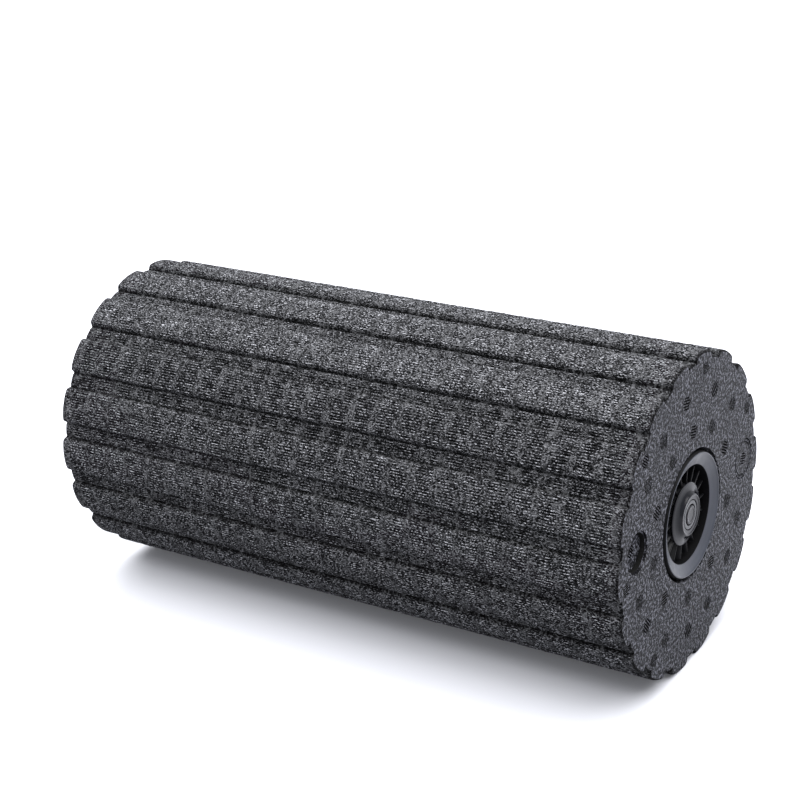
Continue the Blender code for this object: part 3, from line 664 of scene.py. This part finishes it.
def end_regions(outline):
    """(outline, level, kind) regions of one end face. The smallest that holds a point sets its level."""
    regions = [(outline, 0.0, END), (circle(BORE, BORE_STEPS), None, END)]
    recess, ring = polar(*RECESS_AT), polar(*RING_AT)
    for place, steps in ((recess, RECESS_STEPS), (ring, RING_STEPS)):
        regions += [(circle(radius, 56, *place), level, kind) for radius, level, kind in steps]
    marks = []
    for radius, size, spots in VENT_CIRCLES:
        marks += [(*polar(radius, angle), size, VENT_LEVEL) for angle in spots]
    regions += [(circle(size, 28, y, z), level, MARK) for y, z, size, level in marks]
    marks += [(*recess, GUN_VENT, RECESS_FLOOR), (*ring, GUN_VENT, VENT_LEVEL)]
    for y, z, size, level in marks:
        regions += [(slot, level - SLOT_DEPTH, SHADED) for slot in slots_in(y, z, size, RNG.uniform(-80, 80))]
    return regions


def area_of(outline):
    return abs(sum(a[0] * b[1] - b[0] * a[1] for a, b in zip(outline, outline[1:] + outline[:1]))) / 2


def end_face(regions, side):
    """Vertices and faces of one end: each region flat at its own level, with walls between levels."""
    points, loops = [], []
    for outline, _, _ in regions:
        loops.append(list(range(len(points), len(points) + len(outline))))
        points += [Vector(p) for p in outline]
    only_inside = 1
    flat, _, triangles, _, _, owners = geometry.delaunay_2d_cdt(points, [], loops, only_inside, 1e-5)
    sizes = [area_of(outline) for outline, _, _ in regions]
    verts, index, faces, kinds, edges = [], {}, [], [], {}

    def vertex(i, level):
        if (i, level) not in index:
            index[i, level] = len(verts)
            verts.append((side * (FACE + level), flat[i].x, flat[i].y))
        return index[i, level]

    for triangle, held_by in zip(triangles, owners):
        if not held_by:
            continue
        _, level, kind = regions[min(held_by, key=lambda k: sizes[k])]
        if level is None:
            continue
        faces.append([vertex(i, level) for i in triangle])
        kinds.append(kind)
        for a, b in zip(triangle, triangle[1:] + triangle[:1]):
            edges.setdefault((min(a, b), max(a, b)), set()).add(level)
    for (a, b), levels in edges.items():
        if len(levels) == 2:
            upper, lower = max(levels), min(levels)
            faces.append([vertex(a, upper), vertex(b, upper), vertex(b, lower), vertex(a, lower)])
            # Tall walls take the painted shade, low ones the marks' tone
            kinds.append(SHADED if upper - lower > SHADED_WALL else MARK)
    return verts, faces, kinds


def bore_wall(first):
    """Vertices and faces of the stepped bore from end to end, numbered from first."""
    bore = [(BORE, FACE), (BORE, BORE_STEP), (BORE_INNER, BORE_STEP)]
    bore += mirror_x(bore[::-1], -1)
    verts = [(x, y, z) for r, x in bore for y, z in circle(r, BORE_STEPS)]
    faces = []
    for start in range(first, first + len(verts) - BORE_STEPS, BORE_STEPS):
        for i in range(BORE_STEPS):
            j = (i + 1) % BORE_STEPS
            faces.append((start + i, start + j, start + BORE_STEPS + j, start + BORE_STEPS + i))
    return verts, faces


def make_foam(materials):
    """The foam's side, its two end faces and its bore, closed into one skin."""
    one = rib_angles()
    angles = np.concatenate([one + k * RIB_PITCH for k in range(RIBS)])
    base = np.tile(np.interp(one, *rib_table()), RIBS)
    rows = side_rows()
    verts, painted_shading, seams = foam_side(angles, base, rows)
    count = len(angles)
    here = np.arange(count)
    ahead = np.roll(here, -1)
    strip = np.stack([here, ahead, ahead + count, here + count], 1)
    quads = [strip + k * count for k in range(len(rows) - 1)]
    verts = [tuple(v) for v in verts.tolist()]
    faces = [tuple(f) for f in np.concatenate(quads).tolist()]
    kinds = [SIDE] * len(faces)
    for side, ring in ((1, verts[-count:]), (-1, verts[:count])):
        more, patch, kind = end_face(end_regions([v[1:] for v in ring]), side)
        faces += [[i + len(verts) for i in f] for f in patch]
        verts += more
        kinds += kind
    more, patch = bore_wall(len(verts))
    verts += more
    faces += patch
    kinds += [END] * len(patch)

    mesh = bpy.data.meshes.new("foam")
    mesh.from_pydata(verts, [], faces)
    mesh.polygons.foreach_set("material_index", kinds)
    # Only the side's material reads these, so the ends and the bore may take any value
    for label, values in (("painted_shading", painted_shading), ("seam", seams)):
        layer = mesh.attributes.new(label, "FLOAT", "POINT")
        layer.data.foreach_set("value", np.resize(values, len(verts)).astype(np.float32))
    shape = bmesh.new()
    shape.from_mesh(mesh)
    bpy.data.meshes.remove(mesh)
    skins = [materials[name] for name in ("foam", "foam_end", "foam_mark", "foam_shade")]
    foam = finish_mesh("foam_skin", shape, "roller", skins, ["foam_body"], 55)


# ---------------------------------------------------------------- caps

def cap_ring(side, cap, satin, black):
    """The dished bezel, with black painted shade on the flank round its rim and down its throat."""
    corners = [
        (27.8, 150.72, 0.4), (28.25, 150.5, 0.15), (28.9, 149.2, 0.2), (28.9, 148.6, 0), (28.9, 143.6, 0.2),
        (24.6, 143.6, 0.2), (24.6, CAP_BACK, 0.3), (21.95, CAP_BACK, 0.2), (21.95, 143.3, 0),
        (22.4, 143.3, 0), (22.4, 148.3, 0.1), (24.3, 148.95, 0.9), (25.6, 149.5, 1.2), (27.1, 150.15, 1.2),
    ]
    bezel = cap + "_bezel"
    piece = turned(bezel + "_skin", corners, "roller", satin, [bezel], 160, side)
    piece.data.materials.append(black)
    for face in piece.data.polygons:
        centre = TO_AXIS @ face.center
        radius = math.hypot(centre.y, centre.z)
        # Painted shade: the flank round the rim and the throat wall take the black material
        face.material_index = int(radius > SHADE_OUTSIDE or radius < THROAT_INSIDE)


def grille(side, cap, material):
    """Deep radial blades between two rings that are set back behind the blades' edges."""
    outer = [(21.6, CAP_BACK), (21.6, 143.2), (21.1, 143.4), (20.9, 143.0), (20.9, CAP_BACK)]
    inner = [(12.8, CAP_BACK), (12.8, 145.6), (13.3, 145.8), (13.8, 145.4), (13.8, CAP_BACK)]
    shape = bmesh.new()
    add_turned(shape, mirror_x(outer, side), 96)
    add_turned(shape, mirror_x(inner, side), 64)
    for k in range(VANES):
        add_blade(shape, 360 / VANES * k, side)
    finish_mesh(cap + "_grille_skin", shape, "roller", [material], [cap + "_grille"])


def add_blade(shape, angle, side):
    """One blade: a thin plate from ring to ring that leans further round the deeper it goes."""
    sections = [(x, BLADE_THICK) for x in (CAP_BACK, 136.0, 140.0, 144.0, 145.7)]
    sections += [(146.05, BLADE_THICK * 0.75), (BLADE_EDGE, BLADE_THICK * 0.3)]
    plan = (
        (BLADE_INNER, -0.5), (BLADE_INNER, 0.5), (BLADE_MIDDLE, 0.5),
        (BLADE_OUTER, 0.5), (BLADE_OUTER, -0.5), (BLADE_MIDDLE, -0.5),
    )
    rings = []
    for x, thick in sections:
        turn = angle + side * BLADE_LEAN * (BLADE_EDGE - x) / (BLADE_EDGE - CAP_BACK)
        spots = [polar(radius, turn + math.degrees(half * thick / radius)) for radius, half in plan]
        rings.append([shape.verts.new((side * x, y, z)) for y, z in spots])
    for a, b in zip(rings, rings[1:]):
        for k in range(len(plan)):
            j = (k + 1) % len(plan)
            shape.faces.new((a[k], a[j], b[j], b[k]))
    for ring in (rings[0], rings[-1]):
        shape.faces.new((ring[0], ring[1], ring[2], ring[5]))
        shape.faces.new((ring[2], ring[3], ring[4], ring[5]))


def front_controls(satin, smoke):
    """The front hub, with the light ring round the power button."""
    hub = [
        (8.9, 149.7, 0.25), (9.4, 149.62, 0.3), (9.85, 149.1, 0.4), (10.6, 148.3, 0.9), *HUB_SKIRT,
        (11.2, 146.0, 0), (6.95, 146.0, 0), (6.95, 149.2, 0.2), (7.4, 149.3, 0.3), (8.4, 149.35, 0.4),
    ]
    turned("front_hub_skin", hub, "roller", satin, ["front_hub"])
    ring = [
        (6.35, 149.2, 0.15), (6.65, 149.05, 0.15), (6.65, 140.6, 0), (6.0, 140.6, 0), (6.0, 147.9, 0),
        (4.95, 147.9, 0), (4.95, 149.2, 0.15),
    ]
    turned("light_ring_skin", ring, "roller", smoke, ["light_ring"])
    button = [
        (0, 149.3, 0), (2.9, 149.33, 0.3), (3.3, 149.5, 0.3), (3.9, 149.5, 0.3), (4.4, 149.2, 0.35),
        (4.4, 147.6, 0), (5.7, 147.6, 0.1), (5.7, 146.7, 0.1), (2.0, 146.7, 0), (2.0, 144.5, 0.1),
        (0, 144.5, 0),
    ]
    turned("power_button_skin", button, "button", satin, ["power_button"], 96)


def rear_controls(satin, rubber):
    """The rear hub, notched for the hinge of the charge door, and the door."""
    hub = [
        (8.9, 149.4, 0.2), (9.45, 149.3, 0.25), (9.85, 148.8, 0.4), (10.6, 148.2, 0.9), *HUB_SKIRT,
        (11.2, 145.2, 0), (4.3, 145.2, 0.1), (4.3, 147.4, 0.2), (6.8, 147.4, 0), (6.8, 149.4, 0.15),
    ]
    piece = turned("rear_hub_skin", hub, "roller", satin, ["rear_hub"], 96, -1)
    shape = bmesh.new()
    add_block(shape, (4.0, 5.6, 2.6), (-149.7, 0, HINGE_Z))
    cut_away(piece, shape)
    shape = bmesh.new()
    door = [
        (0, 149.25, 0), (3.0, 149.25, 0.5), (6.0, 149.3, 0.4), (6.5, 149.0, 0.3), (6.5, 147.9, 0.2),
        (0, 147.8, 0),
    ]
    add_turned(shape, mirror_x(filleted(door), -1), 96)
    add_cross_rod(shape, 0.85, 4.8, (HINGE_X, 0, HINGE_Z))
    add_block(shape, (1.0, 4.4, 2.0), (-149.0, 0, 6.2), 0.15)
    finish_mesh("port_door_skin", shape, "charge_door", [rubber], ["port_door"])


# ---------------------------------------------------------------- build

make_camera()
make_studio()
MATERIALS = make_materials()
for part in frame["record"]["subparts"]:
    mesh = frame["nodes"][part["node"]].data
    mesh.materials.clear()
    mesh.materials.append(MATERIALS[part["material_slot"]])

make_foam(MATERIALS)
for cap_side, cap_name in ((1, "front"), (-1, "rear")):
    cap_ring(cap_side, cap_name, MATERIALS["satin_plastic"], MATERIALS["black_painted_shade"])
    grille(cap_side, cap_name, MATERIALS["black_plastic"])
front_controls(MATERIALS["hub_plastic"], MATERIALS["smoked_diffuser"])
rear_controls(MATERIALS["hub_plastic"], MATERIALS["rubber"])
